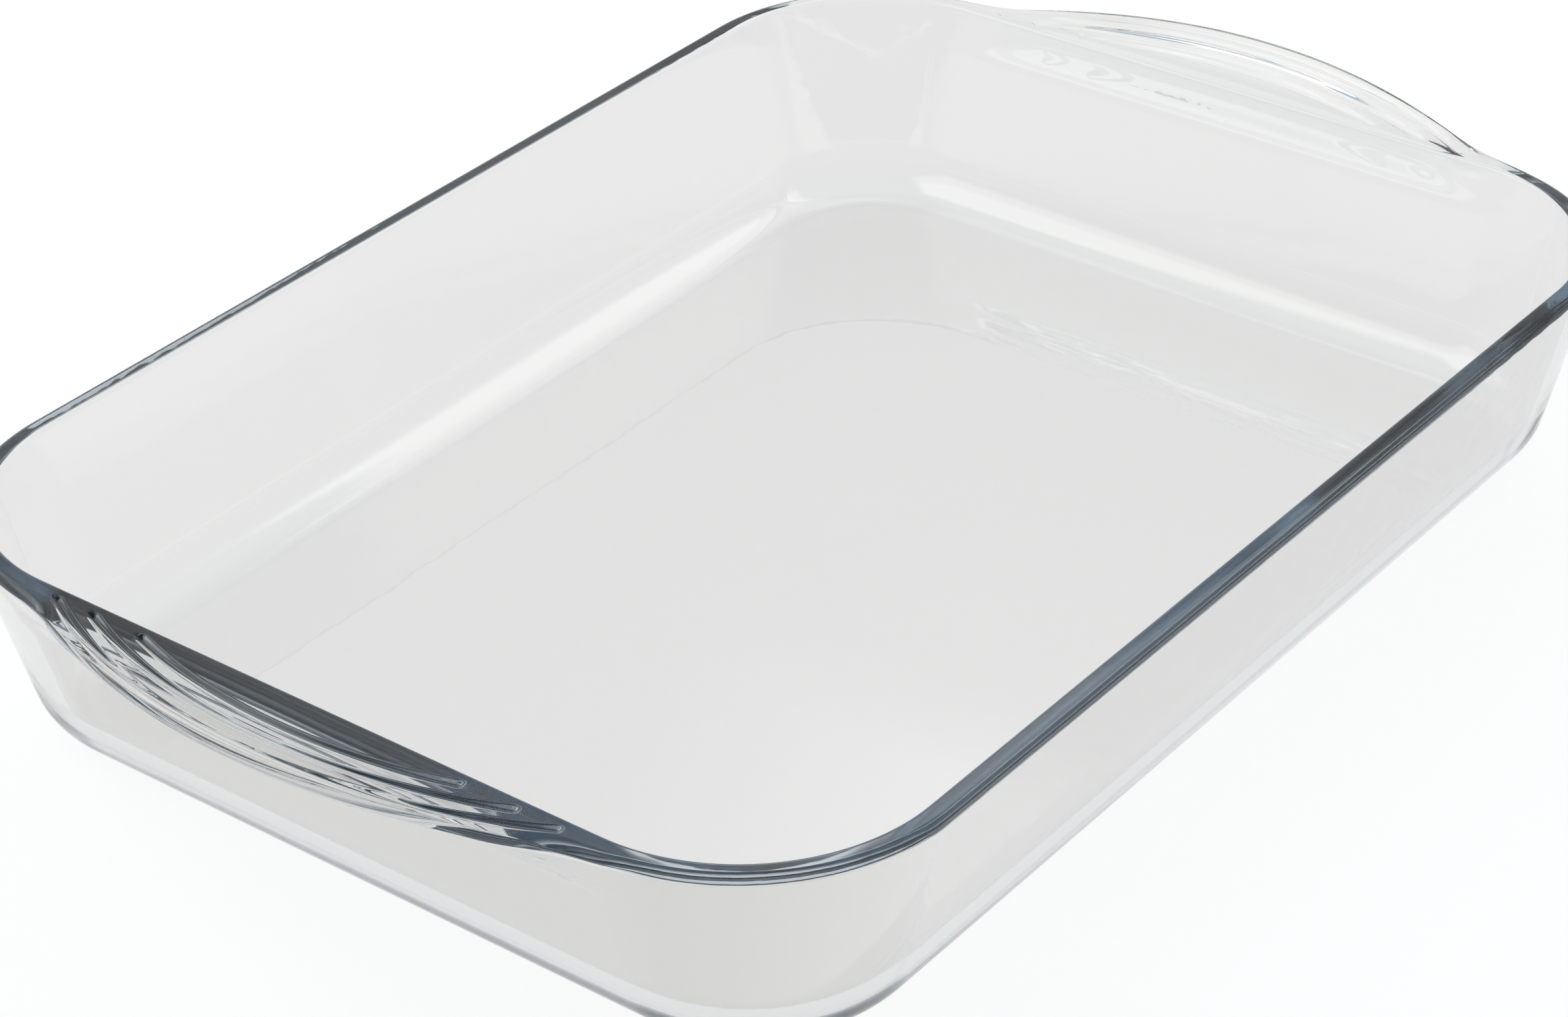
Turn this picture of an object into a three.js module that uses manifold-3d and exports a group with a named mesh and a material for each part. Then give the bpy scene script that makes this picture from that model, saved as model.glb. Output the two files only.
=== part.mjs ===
// A clear glass roasting dish: one pressed piece with a drafted wall, a rounded rim and a grooved
// handle at each short end. Millimetres, +Z up, origin on the table under the middle of the dish,
// X along the length.

import * as THREE from "three";
import Module from "manifold-3d";

// Rim, measured on the outside of the wall at the height of the rim.
const rimLength = 367;
const rimWidth = 269;
const rimHeight = 58;
const rimCornerRadius = 53;
const rimOuterEdgeRadius = 2.2;
const rimInnerEdgeRadius = 1.4;

// Wall and floor. The thickness is measured level, and the draft is the lean from upright.
const wallThickness = 6;
const wallDraftDegrees = 14;
const floorThickness = 5.5;
const coveRadius = 15;
const baseFilletRadius = 16;

// Handles: a crescent that stands out past the rim and rises to its lip. Seen from above it is a parabola
// as long as its arch, run out to the end of its span. Its underside runs in from the lip, turns down a
// steep bracket and joins the wall at the root. The bracket keeps its full size down to a share of the reach.
const handleReach = 20;
const handleRise = 3;
const handleHalfSpan = 97;
const handleArch = 80;
const handleLipThickness = 3.4;
const handleUndersideFlat = 13;
const handleUndersideFall = 1;
const bracketReach = 4;
const bracketDepth = 7;
const bracketSlopeDegrees = 66;
const bracketRound = 2.5;
const bracketFullShare = 0.45;
const rootDepth = 14;

// Finger grooves in the top of each handle: equal arcs, one pitch apart, with round ends.
const grooveCount = 3;
const grooveFirstReach = 5;
const groovePitch = 5.7;
const grooveArcRadius = 150;
const grooveEndInset = 2.2;
const grooveRadius = 1.8;
const grooveDepth = 1;

// How finely the round stretches are divided.
const cornerSteps = 8;
const longSideSteps = 4;
const shortSideSteps = 28;
const coveSteps = 6;
const edgeSteps = 3;
const noseSteps = 3;
const topSteps = 5;
const undersideSteps = 5;
const grooveStations = 18;
const grooveSides = 12;
const grooveEndAngles = [60, 30];

const draft = THREE.MathUtils.degToRad(wallDraftDegrees);
const draftSlope = Math.tan(draft);

// Skins a row of closed rings, each counter-clockwise when looking along the row, and shuts both ends.
function skin(rings) {
  const count = rings[0].length;
  const middle = (ring) => ring.reduce((sum, p) => sum.add(p), new THREE.Vector3()).divideScalar(count);
  const points = [...rings.flat(), middle(rings[0]), middle(rings.at(-1))];
  const firstMiddle = rings.length * count;
  const lastMiddle = firstMiddle + 1;
  const lastRing = firstMiddle - count;
  const index = [];
  for (let j = 0; j < count; j++) {
    const next = (j + 1) % count;
    for (let i = 0; i + 1 < rings.length; i++) {
      const here = i * count;
      const ahead = here + count;
      index.push(here + j, ahead + j, ahead + next);
      index.push(here + j, ahead + next, here + next);
    }
    index.push(firstMiddle, j, next);
    index.push(lastMiddle, lastRing + next, lastRing + j);
  }
  const geometry = new THREE.BufferGeometry().setFromPoints(points);
  geometry.setIndex(index);
  return geometry;
}

// The rim's outside outline seen from above, moved outwards by an offset.
function planOutline(offset) {
  const radius = rimCornerRadius + offset;
  const cornerX = rimLength / 2 - rimCornerRadius;
  const cornerY = rimWidth / 2 - rimCornerRadius;
  const corners = [
    [cornerX, cornerY, longSideSteps],
    [-cornerX, cornerY, shortSideSteps],
    [-cornerX, -cornerY, longSideSteps],
    [cornerX, -cornerY, shortSideSteps],
  ];
  const arcs = corners.map(([x, y], k) => {
    const start = (k * Math.PI) / 2;
    const arc = new THREE.EllipseCurve(x, y, radius, radius, start, start + Math.PI / 2);
    return arc.getPoints(cornerSteps);
  });
  return corners.flatMap(([, , sideSteps], k) => {
    const sideStart = arcs[k].at(-1);
    const sideEnd = arcs[(k + 1) % corners.length][0];
    const side = new THREE.LineCurve(sideStart, sideEnd).getPoints(sideSteps).slice(1, -1);
    return [...arcs[k], ...side];
  });
}

// Points of the wall, as offset and height: on its outer face, and on its inner face.
const outerAt = (z) => new THREE.Vector2((z - rimHeight) * draftSlope, z);
const innerAt = (z) => new THREE.Vector2((z - rimHeight) * draftSlope - wallThickness, z);

// The centre of an arc that touches a level line and the wall, from the height of the centre.
const besideOuterWall = (z, radius) => new THREE.Vector2(outerAt(z).x - radius / Math.cos(draft), z);
const besideInnerWall = (z, radius) => new THREE.Vector2(innerAt(z).x + radius / Math.cos(draft), z);

const arcPoints = (centre, radius, startDegrees, endDegrees, steps) => {
  const start = THREE.MathUtils.degToRad(startDegrees);
  const end = THREE.MathUtils.degToRad(endDegrees);
  const arc = new THREE.EllipseCurve(centre.x, centre.y, radius, radius, start, end, end < start);
  return arc.getPoints(steps);
};

const innerEdge = besideInnerWall(rimHeight - rimInnerEdgeRadius, rimInnerEdgeRadius);
const landEnd = new THREE.Vector2(innerEdge.x, rimHeight);
const handleRoot = outerAt(rimHeight - rootDepth);
const lipRadius = handleLipThickness / 2;
const lipCentre = new THREE.Vector2(handleReach - lipRadius, rimHeight + handleRise - lipRadius);

// The inside of the wall, from the floor up: cove, straight wall and the rim's inner edge.
function insideRun() {
  const coveHeight = floorThickness + coveRadius;
  const cove = new THREE.Vector2(innerAt(coveHeight).x - coveRadius / Math.cos(draft), coveHeight);
  return [
    ...arcPoints(cove, coveRadius, -90, -wallDraftDegrees, coveSteps),
    ...arcPoints(innerEdge, rimInnerEdgeRadius, 180 - wallDraftDegrees, 90, edgeSteps),
  ];
}

// The outside of the wall below the handles: the base fillet, down to the base.
function outsideRun() {
  const fillet = besideOuterWall(baseFilletRadius, baseFilletRadius);
  return arcPoints(fillet, baseFilletRadius, -wallDraftDegrees, -90, coveSteps);
}

// A strip of the section from the land over the top, round the nose and under it to the handle's root.
function strip(topCurve, nose, noseRadius, noseEndDegrees, undersideCurves) {
  const over = arcPoints(nose, noseRadius, 90, 0, noseSteps);
  const under = arcPoints(nose, noseRadius, 0, noseEndDegrees, noseSteps);
  return [
    ...topCurve(over[0]).getPoints(topSteps).slice(1, -1),
    ...over,
    ...under.slice(1),
    ...undersideCurves(under.at(-1)).flatMap((curve) => curve.getPoints(undersideSteps).slice(1)),
  ];
}

// The strip where the rim is plain: a level land, the rounded outer edge and the wall.
function rimStrip() {
  const nose = besideOuterWall(rimHeight - rimOuterEdgeRadius, rimOuterEdgeRadius);
  const level = (to) => new THREE.LineCurve(landEnd, to);
  const halfway = outerAt(rimHeight - bracketDepth);
  const wall = (from) => [new THREE.LineCurve(from, halfway), new THREE.LineCurve(halfway, handleRoot)];
  return strip(level, nose, rimOuterEdgeRadius, -wallDraftDegrees, wall);
}

// The strip in the middle of a handle: its top leaves the land level and curves up to the lip.
function handleStrip() {
  const rising = (to) => new THREE.QuadraticBezierCurve(landEnd, new THREE.Vector2(0, rimHeight), to);
  const slope = THREE.MathUtils.degToRad(bracketSlopeDegrees);
  const turn = new THREE.Vector2(Math.cos(slope), Math.sin(slope)).multiplyScalar(bracketRound);
  const bracket = new THREE.Vector2(bracketReach, rimHeight - bracketDepth);
  const aboveRoot = outerAt(rimHeight - rootDepth + bracketRound);
  const turned = (from) => {
    const flatEnd = new THREE.Vector2(from.x - handleUndersideFlat, from.y - handleUndersideFall);
    return [
      new THREE.CubicBezierCurve(from, flatEnd, bracket.clone().add(turn), bracket),
      new THREE.CubicBezierCurve(bracket, bracket.clone().sub(turn), aboveRoot, handleRoot),
    ];
  };
  return strip(rising, lipCentre, lipRadius, -90, turned);
}

// The height of that top at a distance outward from the rim: the same curve, solved for its share.
function handleTopAt(outward) {
  const spread = landEnd.x + lipCentre.x;
  const share = (landEnd.x + Math.sqrt(landEnd.x ** 2 + spread * (outward - landEnd.x))) / spread;
  return rimHeight + handleRise * share ** 2;
}

// Where the rim's outside lies at a distance y from the middle of the short side.
function rimXAt(y) {
  const past = Math.max(0, Math.abs(y) - (rimWidth / 2 - rimCornerRadius));
  return rimLength / 2 - rimCornerRadius + Math.sqrt(rimCornerRadius ** 2 - past ** 2);
}

// How far out a handle stands, as 1 in its middle and 0 at its ends: a parabola, and from where it turns a
// second one that is tangent to it and to the rim.
function handleShareAt(y) {
  const along = Math.min(Math.abs(y), handleHalfSpan);
  const turn = handleArch ** 2 / handleHalfSpan;
  const arch = 1 - (Math.min(along, turn) / handleArch) ** 2;
  const left = (handleHalfSpan - Math.max(along, turn)) / (handleHalfSpan - turn);
  return arch * left ** 2;
}

const plainRing = (at) => planOutline(at.x).map((p) => new THREE.Vector3(p.x, p.y, at.y));

// One ring of the rim's strip, pulled out at both ends of the dish towards its place in the handles. Rings
// under the handle go by the bracket's share, the more the nearer they are to the root.
function handleRing(plain, full, nearRoot) {
  return plainRing(plain).map((p) => {
    const pulled = new THREE.Vector3(Math.sign(p.x) * (rimXAt(p.y) + full.x), p.y, full.y);
    const share = handleShareAt(p.y);
    const bracketShare = THREE.MathUtils.smoothstep(share, 0, bracketFullShare);
    return p.lerp(pulled, THREE.MathUtils.lerp(share, bracketShare, nearRoot));
  });
}

function bowl() {
  const full = handleStrip();
  const belowNose = noseSteps + 2 * undersideSteps;
  const nearRootAt = (i) => Math.max(0, i + 1 + belowNose - full.length) / belowNose;
  const middle = rimStrip().map((plain, i) => handleRing(plain, full[i], nearRootAt(i)));
  return skin([...insideRun().map(plainRing), ...middle, ...outsideRun().map(plainRing)]);
}

// The rod that presses one finger groove: it follows an arc, dips with the handle's top and has round ends.
function grooveRod(apexReach) {
  const arcCentreX = rimLength / 2 + apexReach - grooveArcRadius;
  const endAngle = Math.acos(1 - (apexReach + grooveEndInset) / grooveArcRadius);
  const lift = grooveRadius - grooveDepth;
  const pathAt = (angle) => {
    const x = arcCentreX + grooveArcRadius * Math.cos(angle);
    const y = grooveArcRadius * Math.sin(angle);
    const top = handleTopAt(x - rimLength / 2);
    return new THREE.Vector3(x, y, top + lift);
  };
  const ringAt = (angle, beyondDegrees) => {
    const beyond = THREE.MathUtils.degToRad(beyondDegrees);
    const inwards = new THREE.Vector3(Math.cos(angle), Math.sin(angle), 0);
    const along = new THREE.Vector3(-Math.sin(angle), Math.cos(angle), 0);
    const centre = pathAt(angle).addScaledVector(along, grooveRadius * Math.sin(beyond));
    return Array.from({ length: grooveSides }, (_, k) => {
      const turn = (2 * Math.PI * k) / grooveSides;
      const spoke = inwards.clone().multiplyScalar(Math.cos(turn));
      spoke.z = Math.sin(turn);
      return centre.clone().addScaledVector(spoke, grooveRadius * Math.cos(beyond));
    });
  };
  const startCap = grooveEndAngles.map((beyond) => ringAt(-endAngle, -beyond));
  const run = Array.from({ length: grooveStations + 1 }, (_, i) => {
    return ringAt(THREE.MathUtils.lerp(-endAngle, endAngle, i / grooveStations), 0);
  });
  const endCap = grooveEndAngles.toReversed().map((beyond) => ringAt(endAngle, beyond));
  return skin([...startCap, ...run, ...endCap]);
}

const wasm = await Module();
wasm.setup();

function toSolid(geometry) {
  const vertProperties = Float32Array.from(geometry.attributes.position.array);
  const triVerts = Uint32Array.from(geometry.index.array);
  return new wasm.Manifold(new wasm.Mesh({ numProp: 3, vertProperties, triVerts }));
}

function toGeometry(solid) {
  const mesh = solid.getMesh();
  const geometry = new THREE.BufferGeometry();
  geometry.setAttribute("position", new THREE.BufferAttribute(mesh.vertProperties, mesh.numProp));
  geometry.setIndex(new THREE.BufferAttribute(mesh.triVerts, 1));
  return geometry;
}

// Both ends are alike, so everything at one end is made again half a turn away.
const bothEnds = (geometry) => [geometry, geometry.clone().rotateZ(Math.PI)];

function glassDish() {
  let solid = toSolid(bowl());
  for (let k = 0; k < grooveCount; k++) {
    for (const geometry of bothEnds(grooveRod(grooveFirstReach + k * groovePitch))) {
      solid = solid.subtract(toSolid(geometry));
    }
  }
  return toGeometry(solid);
}

const clearGlass = new THREE.MeshStandardMaterial({ color: "#dfe4e4", roughness: 0.04, metalness: 0 });

const dish = new THREE.Mesh(glassDish(), clearGlass);
dish.name = "glass_dish";

const roastingDish = new THREE.Group();
roastingDish.add(dish);

export default roastingDish;
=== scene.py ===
# %% [markdown]
# # A pressed glass roasting dish
#
# The real dish is one piece of clear glass: a gob of molten glass is dropped in a mould, a plunger presses
# it into shape, and a flame then polishes it. So it is modelled here as one closed shell with a true wall
# thickness. A single skin would be quicker, but glass only looks like glass when light can enter one face,
# bend, and leave by another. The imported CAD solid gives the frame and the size, and the fine shell replaces
# it.

# %% Load the frame
import math

import bmesh
import bpy
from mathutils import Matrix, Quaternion, Vector


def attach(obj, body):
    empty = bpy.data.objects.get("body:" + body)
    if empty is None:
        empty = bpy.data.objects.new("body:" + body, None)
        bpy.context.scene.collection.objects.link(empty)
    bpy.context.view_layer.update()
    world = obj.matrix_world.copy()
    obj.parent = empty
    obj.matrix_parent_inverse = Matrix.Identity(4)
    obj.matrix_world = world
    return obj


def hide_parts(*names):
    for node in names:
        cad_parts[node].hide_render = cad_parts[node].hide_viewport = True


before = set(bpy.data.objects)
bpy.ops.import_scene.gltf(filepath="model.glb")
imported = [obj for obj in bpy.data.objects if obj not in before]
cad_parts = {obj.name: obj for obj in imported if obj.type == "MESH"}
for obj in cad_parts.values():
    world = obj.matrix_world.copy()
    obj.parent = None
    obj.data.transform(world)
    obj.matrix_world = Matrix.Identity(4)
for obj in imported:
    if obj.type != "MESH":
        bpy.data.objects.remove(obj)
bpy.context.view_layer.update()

# %% [markdown]
# ## Sizes
#
# Blender works in metres here, so millimetres are written as a number times MM. The sizes repeat those of
# the CAD solid. X runs along the dish from handle to handle, Y across it and Z up from the table. In a
# section, an offset is measured level, outwards from the outside of the wall at the height of the rim.

# %% Sizes of the dish
MM = 0.001
RIM_LENGTH = 367 * MM
RIM_WIDTH = 269 * MM
RIM_HEIGHT = 58 * MM
CORNER_RADIUS = 53 * MM
WALL = 6 * MM
DRAFT = math.radians(14)
FLOOR = 5.5 * MM
COVE_RADIUS = 15 * MM
BASE_FILLET = 16 * MM
RIM_OUTER_EDGE = 2.2 * MM
RIM_INNER_EDGE = 1.4 * MM
print("Rim", RIM_LENGTH, "by", RIM_WIDTH, "m,", RIM_HEIGHT, "m high")

# %% [markdown]
# ## The section of the wall
#
# Saw the dish in two and the cut face shows one outline: floor, cove, inner wall, rounded rim, outer wall
# and base fillet. It could be traced as a curve and swept round the rim. Here it is written as runs of
# points, (offset, height), from straight lines and arcs, because each point then gives one ring of the
# mesh. Both runs start at the widest line of the rim: from there every next ring lies further in, and that
# is what Blender's inset can make.


# %% Helpers for runs of points
def eased(steps):
    """Shares from 0 to 1, closer together at both ends, where the shading has to turn."""
    return [(1 - math.cos(math.pi * i / steps)) / 2 for i in range(steps + 1)]


def arc(centre, radius, start, end, steps):
    """Points on an arc. Angles are in degrees, 0 pointing outwards and 90 up."""
    angles = [math.radians(start + (end - start) * s) for s in eased(steps)]
    return [Vector((centre[0] + radius * math.cos(a), centre[1] + radius * math.sin(a))) for a in angles]


def straight(start, end, steps):
    """The points between two ends, without the ends."""
    return [start.lerp(end, s) for s in eased(steps)[1:-1]]


def evenly(points, count):
    """The same run of points, spaced evenly along its length, count steps long."""
    reach = [0.0]
    for a, b in zip(points, points[1:]):
        reach.append(reach[-1] + (b - a).length)
    spaced = []
    k = 0
    for i in range(count + 1):
        want = reach[-1] * i / count
        while k < len(points) - 2 and reach[k + 1] < want:
            k += 1
        span = reach[k + 1] - reach[k]
        spaced.append(points[k].lerp(points[k + 1], (want - reach[k]) / span))
    return spaced


def wall_at(height, inside=0.0):
    """A point of the leaning wall, on its outer face or a level distance inside it."""
    return Vector(((height - RIM_HEIGHT) * math.tan(DRAFT) - inside, height))


quarter = arc((0, 0), 1, 0, 90, 4)
print("A quarter circle in four steps:", [(round(p[0], 2), round(p[1], 2)) for p in quarter])

# %% [markdown]
# ## The rim
#
# The rim is rounded over its outer and inner edge, with a level land between. The handles will be pulled
# out of it, so the part of the section that a handle uses is kept as two strips with evenly spaced rings:
# one from the widest line over the top, and one from the widest line down the outside to the place where a
# handle's root ends.

# %% The plain rim in two strips
TOP_STEPS = 48
UNDER_STEPS = 34
ROOT_DEPTH = 14 * MM
ROUND_STEPS = 24
DRAFT_DEGREES = math.degrees(DRAFT)
outer_side = RIM_OUTER_EDGE * (1 / math.cos(DRAFT) + math.tan(DRAFT))
inner_side = RIM_INNER_EDGE * (1 / math.cos(DRAFT) - math.tan(DRAFT))
outer_edge = (-outer_side, RIM_HEIGHT - RIM_OUTER_EDGE)
inner_edge = (inner_side - WALL, RIM_HEIGHT - RIM_INNER_EDGE)
land_end = Vector((inner_edge[0], RIM_HEIGHT))
root = wall_at(RIM_HEIGHT - ROOT_DEPTH)
over_edge = arc(outer_edge, RIM_OUTER_EDGE, 0, 90, ROUND_STEPS)
under_edge = arc(outer_edge, RIM_OUTER_EDGE, 0, -DRAFT_DEGREES, ROUND_STEPS // 4)
rim_top = evenly(over_edge + [land_end], TOP_STEPS)
rim_under = evenly(under_edge + [root], UNDER_STEPS)
print("Rim strips:", len(rim_top), "rings over the top,", len(rim_under), "below")

# %% [markdown]
# ## Walls, cove and base
#
# The wall leans out so that the dish leaves its mould. Inside, a wide cove joins it to the floor, so that a
# spoon reaches everywhere. Outside, a fillet of nearly the same radius keeps the glass at one thickness
# round the bend. The long straight stretches need few rings. The two bends get many, because highlights run
# along them.

# %% The rest of the section
FLAT_MARGIN = 3 * MM
FLAT_SHARES = (0.3, 1)
WALL_STEPS = 7
BEND_STEPS = 18
cove = (wall_at(FLOOR + COVE_RADIUS, WALL)[0] - COVE_RADIUS / math.cos(DRAFT), FLOOR + COVE_RADIUS)
fillet = (wall_at(BASE_FILLET)[0] - BASE_FILLET / math.cos(DRAFT), BASE_FILLET)
inner_edge_arc = arc(inner_edge, RIM_INNER_EDGE, 90, 180 - DRAFT_DEGREES, ROUND_STEPS // 3)[1:]
cove_arc = arc(cove, COVE_RADIUS, -DRAFT_DEGREES, -90, BEND_STEPS)
fillet_arc = arc(fillet, BASE_FILLET, -DRAFT_DEGREES, -90, BEND_STEPS)
flat_rings = [Vector((FLAT_MARGIN * share, 0)) for share in FLAT_SHARES]
inner_wall = straight(inner_edge_arc[-1], cove_arc[0], WALL_STEPS)
outer_wall = straight(root, fillet_arc[0], WALL_STEPS)
inside = rim_top + inner_edge_arc + inner_wall + cove_arc + [cove_arc[-1] - ring for ring in flat_rings]
outside = rim_under + outer_wall + fillet_arc + [fillet_arc[-1] - ring for ring in flat_rings]
print("Section:", len(inside), "rings inside and", len(outside), "outside")

# %% [markdown]
# ## Pressing the shell
#
# A plane the size of the rim gets round corners from a vertex bevel, and its straight sides are subdivided.
# Insetting that one face again and again, each time by the next step of the section, walks the face over
# the rim and down to the floor, and every inset leaves one ring of quads behind, as a plunger would leave
# the wall. A second copy of the plane walks down the outside to the base. Each point remembers its ring, so
# that the handles can find it.

# %% The rim's outline
CORNER_STEPS = 36
SHORT_SIDE_CUTS = 139
LONG_SIDE_CUTS = 24
WIDEST = inside[0][0]


def cut_longest_edge(plane, axis, cuts):
    """Subdivide the one edge that is longest along an axis."""
    bpy.ops.mesh.select_all(action="DESELECT")
    bm = bmesh.from_edit_mesh(plane.data)
    longest = max(bm.edges, key=lambda edge: abs(edge.verts[0].co[axis] - edge.verts[1].co[axis]))
    longest.select_set(True)
    bmesh.update_edit_mesh(plane.data)
    bpy.ops.mesh.subdivide(number_cuts=cuts)


def rim_plane(name):
    """A level face with the outline of the rim's widest line, left selected in edit mode."""
    bpy.ops.object.select_all(action="DESELECT")
    bpy.ops.mesh.primitive_plane_add(size=1, location=(0, 0, inside[0][1]))
    plane = bpy.context.object
    plane.name = name
    plane.scale = (RIM_LENGTH + 2 * WIDEST, RIM_WIDTH + 2 * WIDEST, 1)
    bpy.ops.object.transform_apply(location=True, rotation=False, scale=True)
    bpy.ops.object.mode_set(mode="EDIT")
    bpy.ops.mesh.select_all(action="SELECT")
    radius = CORNER_RADIUS + WIDEST
    bpy.ops.mesh.bevel(offset=radius, segments=CORNER_STEPS, affect="VERTICES", profile=0.5)
    for side in range(2):
        cut_longest_edge(plane, 1, SHORT_SIDE_CUTS)
    for side in range(2):
        cut_longest_edge(plane, 0, LONG_SIDE_CUTS)
    bpy.ops.mesh.select_all(action="SELECT")
    return plane


# %% The two sides of the shell
def press(plane, run, side):
    """Inset the plane's face along a run of the section, up for side 1 and down for side -1."""
    bm = bmesh.from_edit_mesh(plane.data)
    bm.verts.layers.int.new("ring")
    for k, (here, there) in enumerate(zip(run, run[1:]), start=1):
        step_in = here[0] - there[0]
        step_up = side * (there[1] - here[1])
        bpy.ops.mesh.inset(thickness=step_in, depth=step_up, use_even_offset=True)
        bm = bmesh.from_edit_mesh(plane.data)
        ring = bm.verts.layers.int["ring"]
        for vert in bm.verts:
            if vert.select:
                vert[ring] = side * k
    bpy.ops.object.mode_set(mode="OBJECT")
    print(plane.name, "has", len(plane.data.polygons), "faces")


dish = rim_plane("pressed_glass_dish")
press(dish, inside, 1)
under = rim_plane("outside_of_dish")
bpy.ops.mesh.flip_normals()
press(under, outside, -1)

# %% Joining the two sides along the rim's widest line
MERGE_DISTANCE = 0.001 * MM
bpy.ops.object.select_all(action="DESELECT")
under.select_set(True)
dish.select_set(True)
bpy.context.view_layer.objects.active = dish
bpy.ops.object.join()
bpy.ops.object.mode_set(mode="EDIT")
bpy.ops.mesh.select_all(action="SELECT")
bpy.ops.mesh.remove_doubles(threshold=MERGE_DISTANCE)
bpy.ops.mesh.normals_make_consistent(inside=False)
bpy.ops.object.mode_set(mode="OBJECT")
print("Shell:", len(dish.data.vertices), "points,", len(dish.data.polygons), "faces")

# %% [markdown]
# ## The section of a handle
#
# Each handle is a crescent of the same glass. Its full section, in the middle of the crescent, is a thin
# plate with a round nose and a top that rises gently from the rim. Under it the plate turns down into a
# short steep bracket that runs out on the wall. That bracket matters to the eye: light that comes in over
# the rim is trapped there, and the land between the grooves and the rim looks dark. A boolean union with a
# separate handle would leave a sharp seam that pressed glass doesn't have, so the section is drawn whole,
# with as many rings as the plain rim.

# %% The full section of a handle
HANDLE_REACH = 20 * MM
HANDLE_RISE = 3 * MM
LIP_THICKNESS = 3.4 * MM
TOP_CURVE = 1.4
UNDERSIDE_FLAT = 13 * MM
UNDERSIDE_FALL = 1 * MM
BRACKET_OUT = 4 * MM
BRACKET_DEPTH = 7 * MM
BRACKET_SLOPE = math.radians(66)
BRACKET_ROUND = 2.5 * MM
CURVE_STEPS = 40
RUN_OUT_STEPS = 30
TOP_SAMPLES = 80
NOSE = LIP_THICKNESS / 2
lip = Vector((HANDLE_REACH - NOSE, RIM_HEIGHT + HANDLE_RISE - NOSE))


def handle_top(offset):
    """A point of a handle's top: level over the wall, then curving up to the lip."""
    share = max(0.0, offset) / HANDLE_REACH
    return Vector((offset, RIM_HEIGHT + HANDLE_RISE * share**TOP_CURVE))


def bezier(a, b, c, d, steps):
    """Points on a cubic curve from a to d that leaves a towards b and comes to d from c."""
    shares = [i / steps for i in range(steps + 1)]
    return [a * (1 - t)**3 + b * 3 * t * (1 - t)**2 + c * 3 * t * t * (1 - t) + d * t**3 for t in shares]


nose_foot = lip - Vector((0, NOSE))
turn_in = nose_foot - Vector((UNDERSIDE_FLAT, UNDERSIDE_FALL))
bracket = Vector((BRACKET_OUT, RIM_HEIGHT - BRACKET_DEPTH))
bracket_turn = BRACKET_ROUND * Vector((math.cos(BRACKET_SLOPE), math.sin(BRACKET_SLOPE)))
up_wall = wall_at(RIM_HEIGHT - ROOT_DEPTH + BRACKET_ROUND)
top_reach = [lip[0] + (land_end[0] - lip[0]) * i / TOP_SAMPLES for i in range(TOP_SAMPLES + 1)]
top_line = [handle_top(offset) for offset in top_reach]
plate = bezier(nose_foot, turn_in, bracket + bracket_turn, bracket, CURVE_STEPS)
run_out = bezier(bracket, bracket - bracket_turn, up_wall, root, RUN_OUT_STEPS)
over_nose = arc(lip, NOSE, 0, 90, ROUND_STEPS)[:-1]
under_nose = arc(lip, NOSE, 0, -90, ROUND_STEPS)[:-1]
full_top = evenly(over_nose + top_line, TOP_STEPS)
full_under = evenly(under_nose + plate + run_out[1:], UNDER_STEPS)
print("Handle's lip:", round(full_top[0][0], 4), "m past the rim and", round(lip[1], 4), "m up")

# %% [markdown]
# ## Pulling the handles out of the rim
#
# Seen from above, a handle's edge is a parabola that runs out into the rim. Each point of the rim's two
# strips moves from its plain place towards its place in the full section, by a share that is 1 in the
# middle of the handle and 0 past its ends. The bracket keeps its size for longer than the lip does, so the
# points near the root use a share that stays full for more of the way. No seam can show, because no face is
# cut.

# %% How far each point is pulled
HANDLE_HALF_SPAN = 97 * MM
HANDLE_ARCH = 80 * MM
BRACKET_FULL = 0.45


def handle_share(y):
    """A parabola along the handle, run out by a second one that is tangent to it and to the rim."""
    turn = HANDLE_ARCH**2 / HANDLE_HALF_SPAN
    along = min(abs(y), HANDLE_HALF_SPAN)
    if along < turn:
        return 1 - (along / HANDLE_ARCH)**2
    left = (HANDLE_HALF_SPAN - along) / (HANDLE_HALF_SPAN - turn)
    return (1 - (turn / HANDLE_ARCH)**2) * left**2


def bracket_share(share):
    """The bracket's own share, full until the lip has run out to BRACKET_FULL."""
    t = min(1.0, share / BRACKET_FULL)
    return t * t * (3 - 2 * t)


def rim_x(y):
    """Where the plain rim's outside lies, seen from above."""
    past = max(0.0, abs(y) - (RIM_WIDTH / 2 - CORNER_RADIUS))
    return RIM_LENGTH / 2 - CORNER_RADIUS + math.sqrt(CORNER_RADIUS**2 - past**2)


print("Lip's share at 0, 40 and 80 mm:", [round(handle_share(y * MM), 2) for y in (0, 40, 80)])

# %% Pulling
ring_of = [item.value for item in dish.data.attributes["ring"].data]
pulled = 0
for vert, ring in zip(dish.data.vertices, ring_of):
    x, y, z = vert.co
    share = handle_share(y)
    at_end = abs(x) > RIM_LENGTH / 4
    if share > 0 and at_end and -UNDER_STEPS <= ring <= TOP_STEPS:
        full = full_top[ring] if ring >= 0 else full_under[-ring]
        target = Vector((math.copysign(rim_x(y) + full[0], x), y, full[1]))
        near_root = max(0, -ring) / UNDER_STEPS
        vert.co = vert.co.lerp(target, share + (bracket_share(share) - share) * near_root)
        pulled += 1
dish.data.attributes.remove(dish.data.attributes["ring"])
print("Handle points pulled:", pulled)

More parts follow.
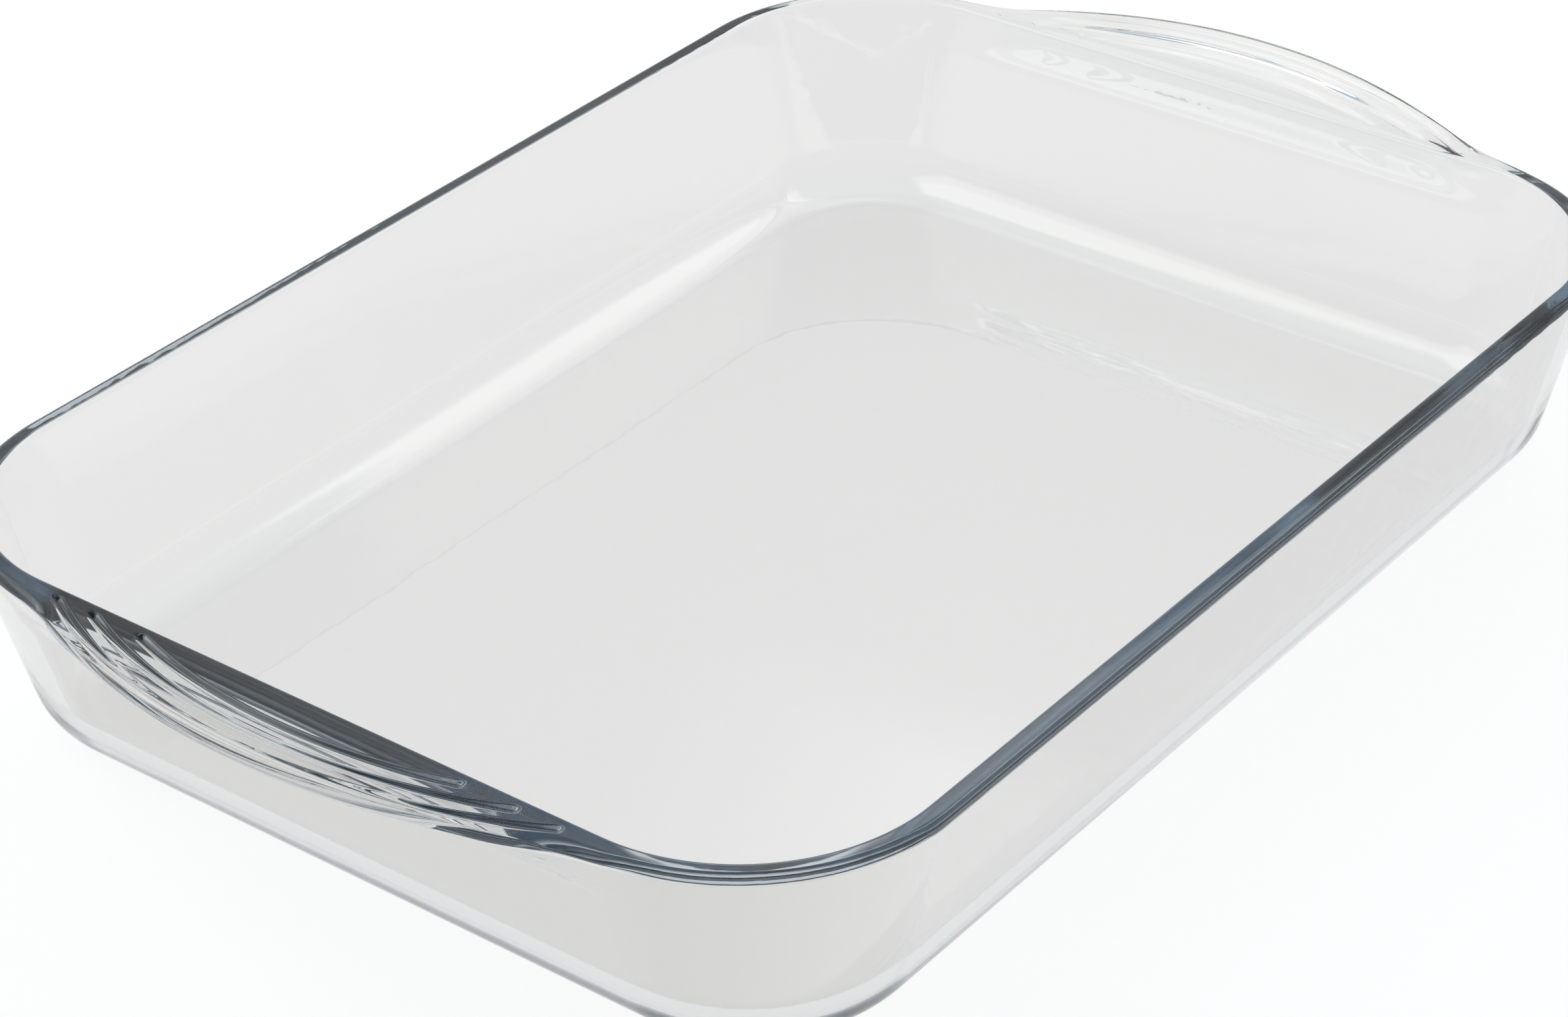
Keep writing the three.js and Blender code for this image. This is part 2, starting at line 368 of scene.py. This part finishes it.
# %% [markdown]
# ## Finger grooves
#
# The mould presses three shallow grooves into the top of each handle, for the grip. They are equal arcs,
# one pitch apart, that stop a little inside the rim. They could be cut with a boolean, but that leaves long
# thin faces that shade badly. Instead the faces near a groove are subdivided, and each point sinks by the
# groove's depth at its distance from the groove's middle line, with the soft edge that fire-polishing
# leaves.

# %% The shape of a groove
GROOVE_COUNT = 3
GROOVE_FIRST = 5 * MM
GROOVE_PITCH = 5.7 * MM
GROOVE_ARC = 150 * MM
GROOVE_END = -2.2 * MM
GROOVE_HALF_WIDTH = 1.75 * MM
GROOVE_DEPTH = 1 * MM
GROOVE_FLAT = 0.1
apexes = [GROOVE_FIRST + GROOVE_PITCH * k for k in range(GROOVE_COUNT)]


def groove_distance(offset, y, apex):
    """Distance from a groove's middle line, an arc that stops at the offset GROOVE_END."""
    end_angle = math.acos(1 - (apex - GROOVE_END) / GROOVE_ARC)
    from_centre = Vector((offset - apex + GROOVE_ARC, y))
    angle = math.atan2(from_centre[1], from_centre[0])
    held = max(-end_angle, min(end_angle, angle))
    return (from_centre - GROOVE_ARC * Vector((math.cos(held), math.sin(held)))).length


def groove_share(point):
    """How far a point lies from the nearest groove's middle line, in half widths."""
    offset = abs(point.x) - RIM_LENGTH / 2
    return min(groove_distance(offset, point.y, apex) for apex in apexes) / GROOVE_HALF_WIDTH


print("Grooves' middles:", [round(apex, 4) for apex in apexes], "m out from the rim")

# %% Pressing the grooves
NEAR_GROOVE = 1.4
FACING_UP = 0.5
GROOVE_CUTS = 2
bpy.ops.object.mode_set(mode="EDIT")
bpy.ops.mesh.select_all(action="DESELECT")
bm = bmesh.from_edit_mesh(dish.data)
for face in bm.faces:
    middle = face.calc_center_median()
    on_top = face.normal.z > FACING_UP and middle.z > RIM_HEIGHT - RIM_OUTER_EDGE
    face.select_set(on_top and abs(middle.y) < HANDLE_HALF_SPAN and groove_share(middle) < NEAR_GROOVE)
bmesh.update_edit_mesh(dish.data)
bpy.ops.mesh.subdivide(number_cuts=GROOVE_CUTS)
bm = bmesh.from_edit_mesh(dish.data)
sunk = 0
for vert in bm.verts:
    share = groove_share(vert.co) if vert.select else 1.0
    if share < 1:
        up_side = max(0.0, (share - GROOVE_FLAT) / (1 - GROOVE_FLAT))
        vert.co.z -= GROOVE_DEPTH * (1 + math.cos(math.pi * up_side)) / 2
        sunk += 1
bmesh.update_edit_mesh(dish.data)
bpy.ops.object.mode_set(mode="OBJECT")
print("Groove points sunk:", sunk)

# %% [markdown]
# ## Finishing the shell
#
# Fire-polished glass has no sharp edge anywhere, so the whole shell is shaded smooth, and its roundings are
# real faces. The frame is then told that the shell rides on the dish's one body, and the CAD solid that it
# stands for is hidden.

# %% Smooth shading and the frame's words for the shell
bpy.ops.object.select_all(action="DESELECT")
dish.select_set(True)
bpy.context.view_layer.objects.active = dish
bpy.ops.object.mode_set(mode="EDIT")
bpy.ops.mesh.select_all(action="SELECT")
bpy.ops.mesh.normals_make_consistent(inside=False)
bpy.ops.object.mode_set(mode="OBJECT")
bpy.ops.object.shade_smooth()
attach(dish, "root")
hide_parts("glass_dish")
print("Triangles:", sum(len(face.vertices) - 2 for face in dish.data.polygons))

# %% [markdown]
# ## Helpers for materials
#
# Colours are written as the sRGB hex values that a paint program shows, and one function turns them linear,
# which is what the renderer works in. A second small function adds a node, sets it and links it, so that a
# material reads as a list of nodes from its first texture to its output.


# %% Colours and nodes
def linear(hex_colour):
    """An sRGB hex colour as linear red, green, blue and alpha."""
    parts = [int(hex_colour[i:i + 2], 16) / 255 for i in (1, 3, 5)]
    return [c / 12.92 if c <= 0.04045 else ((c + 0.055) / 1.055)**2.4 for c in parts] + [1.0]


def add(tree, kind, links=None, settings=None, **values):
    """Add a node, set its properties and input values, and link its inputs from other sockets."""
    node = tree.nodes.new(kind)
    for name, value in (settings or {}).items():
        setattr(node, name, value)
    for name, value in values.items():
        node.inputs[name.replace("_", " ")].default_value = value
    for name, socket in (links or {}).items():
        tree.links.new(socket, node.inputs[name])
    return node


def new_material(name):
    """An empty node material and its tree."""
    material = bpy.data.materials.new(name)
    material.use_nodes = True
    material.node_tree.nodes.clear()
    return material, material.node_tree


print("Middle grey in linear light:", round(linear("#808080")[0], 3))

# %% [markdown]
# ## Pressed glass
#
# Ovenware like this is often borosilicate glass, which bends light a little less than window glass, with an
# IOR of 1.474. The plunger chills the surface as it presses, and that leaves very shallow waves, tens of
# millimetres long with finer ripples on them, which make the highlights swim. The base and the foot of its
# fillet aren't polished: they stay slightly matt from the mould, so light from the table can enter the wall
# there at angles that a polished face would turn away. That light is what the eye sees in the rim, as a
# steel blue, because a long way through glass takes out a little red. The tint is therefore an absorption
# inside the glass, beside a very light grey on its surface.

# %% Borosilicate glass, pressed and fire-polished
# Clear and glossy all over, with faint waves in the highlights and a blue-grey edge where the eye looks
# along the glass.
GLASS_IOR = 1.474
WAVE_LENGTH = 45 * MM
WAVE_HEIGHT = 0.1 * MM
TINT_PER_METRE = 9.0
MATT_FULL = 0.05 * MM
MATT_END = 2.5 * MM
MATT_ROUGHNESS = 0.19
glass, tree = new_material("pressed_borosilicate_glass")
place = add(tree, "ShaderNodeTexCoord")
waves = add(tree, "ShaderNodeTexNoise", {"Vector": place.outputs["Object"]},
            Scale=1 / WAVE_LENGTH, Detail=4.0, Roughness=0.6)
bump = add(tree, "ShaderNodeBump", {"Height": waves.outputs["Fac"]}, Strength=1.0, Distance=WAVE_HEIGHT)
heights = add(tree, "ShaderNodeSeparateXYZ", {"Vector": place.outputs["Object"]})
matt = add(tree, "ShaderNodeMapRange", {"Value": heights.outputs["Z"]}, {"interpolation_type": "SMOOTHSTEP"},
           From_Min=MATT_FULL, From_Max=MATT_END, To_Min=MATT_ROUGHNESS, To_Max=0.0)
surface = {"Normal": bump.outputs["Normal"], "Roughness": matt.outputs[0]}
shader = add(tree, "ShaderNodeBsdfPrincipled", surface,
             IOR=GLASS_IOR, Base_Color=linear("#EEEDEB"), Transmission_Weight=1.0)
tint = add(tree, "ShaderNodeVolumeAbsorption", Color=linear("#A2BDCF"), Density=TINT_PER_METRE)
add(tree, "ShaderNodeOutputMaterial", {"Surface": shader.outputs[0], "Volume": tint.outputs[0]})
dish.data.materials.clear()
dish.data.materials.append(glass)
print("Glass:", glass.name, "with IOR", GLASS_IOR)

# %% [markdown]
# ## The light table
#
# Clear glass has almost no colour of its own, so it shows what lies under and around it. A grey floor would
# make it look grey all over. A sheet of white acrylic lit from below, as product photographers use, keeps
# the glass clean and leaves only its edges dark. The floor is a plain plane with that glow, set a hair
# below the dish, because two faces in the same place would flicker.

# %% Floor
# White acrylic, cast and finely sanded: even, bright and without a reflection of its own.
FLOOR_SIZE = 6
FLOOR_GAP = 0.3 * MM
FLOOR_GLOW = 0.89
bpy.ops.object.select_all(action="DESELECT")
bpy.ops.mesh.primitive_plane_add(size=FLOOR_SIZE, location=(0, 0, -FLOOR_GAP))
floor = bpy.context.object
floor.name = "studio_floor"
acrylic, tree = new_material("white_acrylic_light_table")
shader = add(tree, "ShaderNodeBsdfPrincipled", Base_Color=linear("#7A7A79"), Roughness=0.9,
             Specular_IOR_Level=0.1, Emission_Color=linear("#FFFFFF"), Emission_Strength=FLOOR_GLOW)
add(tree, "ShaderNodeOutputMaterial", {"Surface": shader.outputs[0]})
floor.data.materials.append(acrylic)
print("Floor:", FLOOR_SIZE, "m wide,", FLOOR_GAP, "m below the dish")

# %% [markdown]
# ## The room
#
# The dim room is what the rim and the handles mirror. Its side behind the camera is dark, which gives the
# rim its dark line, and its far side is a pale backdrop that turns bluish overhead. One dot product tells
# the two sides apart, and a colour ramp on the height makes the backdrop.

# %% Room
FAR_SIDE = (0.78, 0.62, 0)
SIDE_BLEND = 0.3
BACKDROP_TOP = 0.62
OVERHEAD = 0.72
world = bpy.data.worlds.new("dim_room")
bpy.context.scene.world = world
world.use_nodes = True
tree = world.node_tree
tree.nodes.clear()
place = add(tree, "ShaderNodeTexCoord")
depth = add(tree, "ShaderNodeVectorMath", {0: place.outputs["Generated"]}, {"operation": "DOT_PRODUCT"})
depth.inputs[1].default_value = FAR_SIDE
behind = add(tree, "ShaderNodeMapRange", {"Value": depth.outputs["Value"]},
             From_Min=-SIDE_BLEND, From_Max=SIDE_BLEND)
height = add(tree, "ShaderNodeSeparateXYZ", {"Vector": place.outputs["Generated"]})
backdrop = add(tree, "ShaderNodeValToRGB", {"Fac": height.outputs["Z"]})
pale, bluish = backdrop.color_ramp.elements
pale.position = BACKDROP_TOP
pale.color = linear("#E1E1E1")
bluish.position = OVERHEAD
bluish.color = linear("#ADC5D7")
room = add(tree, "ShaderNodeMixRGB", {"Fac": behind.outputs[0], "Color2": backdrop.outputs[0]},
           Color1=linear("#525963"))
air = add(tree, "ShaderNodeBackground", {"Color": room.outputs[0]}, Strength=1.0)
add(tree, "ShaderNodeOutputWorld", {"Surface": air.outputs[0]})
print("Room:", world.name)

# %% [markdown]
# ## Two softboxes
#
# A softbox is a cloth stretched over a lamp. Two of them, beyond the far right and the far left of the
# dish, give the long soft highlights in the coves. A hard-edged panel would draw its outline in the glass,
# so the cloth fades out towards its edges. They are glowing planes and not lamps, because glass has to
# mirror them.

# %% The cloth of a softbox
# Woven white diffuser cloth, lit from behind: even in the middle and fading to nothing at its edges.
SOFTBOX_LIGHT = 2.0
SOFTBOX_EDGE = 0.2
cloth, tree = new_material("lit_softbox_cloth")
place = add(tree, "ShaderNodeTexCoord")
sides = add(tree, "ShaderNodeSeparateXYZ", {"Vector": place.outputs["Object"]})
fades = []
for axis in ("X", "Y"):
    away = add(tree, "ShaderNodeMath", {0: sides.outputs[axis]}, {"operation": "ABSOLUTE"})
    fade = add(tree, "ShaderNodeMapRange", {"Value": away.outputs[0]}, {"interpolation_type": "SMOOTHSTEP"},
               From_Min=0.5 - SOFTBOX_EDGE, From_Max=0.5, To_Min=1.0, To_Max=0.0)
    fades.append(fade.outputs[0])
both = add(tree, "ShaderNodeMath", {0: fades[0], 1: fades[1]}, {"operation": "MULTIPLY"})
glow = add(tree, "ShaderNodeEmission", Strength=SOFTBOX_LIGHT)
clear = add(tree, "ShaderNodeBsdfTransparent")
soft = add(tree, "ShaderNodeMixShader", {0: both.outputs[0], 1: clear.outputs[0], 2: glow.outputs[0]})
add(tree, "ShaderNodeOutputMaterial", {"Surface": soft.outputs[0]})
print("Softbox cloth:", cloth.name)

# %% The two softboxes
SOFTBOX_DISTANCE = 1.5
SOFTBOX_ELEVATION = 48


def softbox(name, azimuth, size):
    """A soft panel, raised above the table, that faces the dish from an azimuth given in degrees."""
    a = math.radians(azimuth)
    e = math.radians(SOFTBOX_ELEVATION)
    towards = Vector((math.cos(e) * math.cos(a), math.cos(e) * math.sin(a), math.sin(e)))
    bpy.ops.object.select_all(action="DESELECT")
    bpy.ops.mesh.primitive_plane_add(size=1, location=SOFTBOX_DISTANCE * towards)
    panel = bpy.context.object
    panel.name = name
    panel.scale = (*size, 1)
    panel.rotation_euler = (-towards).to_track_quat("-Z", "Y").to_euler()
    panel.data.materials.append(cloth)
    print(name, "at", [round(v, 2) for v in panel.location])


softbox("right_softbox", azimuth=3, size=(1.85, 0.42))
softbox("left_softbox", azimuth=112, size=(1.3, 1.2))

# %% [markdown]
# ## How light is followed and shown
#
# Light in a glass dish passes many faces before it comes out, so more bounces are allowed than the default.
# With too few, the rim and the handles turn black. The plain view transform keeps the white of the floor
# white.

# %% Bounces and view
GLASS_BOUNCES = 24
MIRROR_BOUNCES = 16
scene = bpy.context.scene
scene.view_settings.view_transform = "Standard"
scene.cycles.max_bounces = GLASS_BOUNCES
scene.cycles.transmission_bounces = GLASS_BOUNCES
scene.cycles.glossy_bounces = MIRROR_BOUNCES
print("Bounces:", GLASS_BOUNCES)

# %% [markdown]
# ## The camera
#
# The dish is seen from one corner and from above, close up, so that its rim runs out of the picture on two
# sides. The camera's place, aim, roll and focal length were fitted to the photograph's rim, with no lens
# shift and no blur.

# %% Camera
CAMERA_PLACE = Vector((-675.4, -528.9, 555.8)) * MM
CAMERA_AIM = Vector((-58.7, -35.7, 58.0)) * MM
CAMERA_ROLL = math.radians(-1.72)
CAMERA_LENS = 94.68
SENSOR_WIDTH = 36
CAMERA_NEAR = 10 * MM
bpy.ops.object.camera_add(location=CAMERA_PLACE)
camera = bpy.context.object
camera.name = "photo_camera"
look = (CAMERA_AIM - CAMERA_PLACE).to_track_quat("-Z", "Y")
camera.rotation_euler = (look @ Quaternion((0, 0, 1), CAMERA_ROLL)).to_euler()
camera.data.lens = CAMERA_LENS
camera.data.sensor_width = SENSOR_WIDTH
camera.data.clip_start = CAMERA_NEAR
scene.camera = camera
print("Camera", round((CAMERA_AIM - CAMERA_PLACE).length, 3), "m from what it looks at")
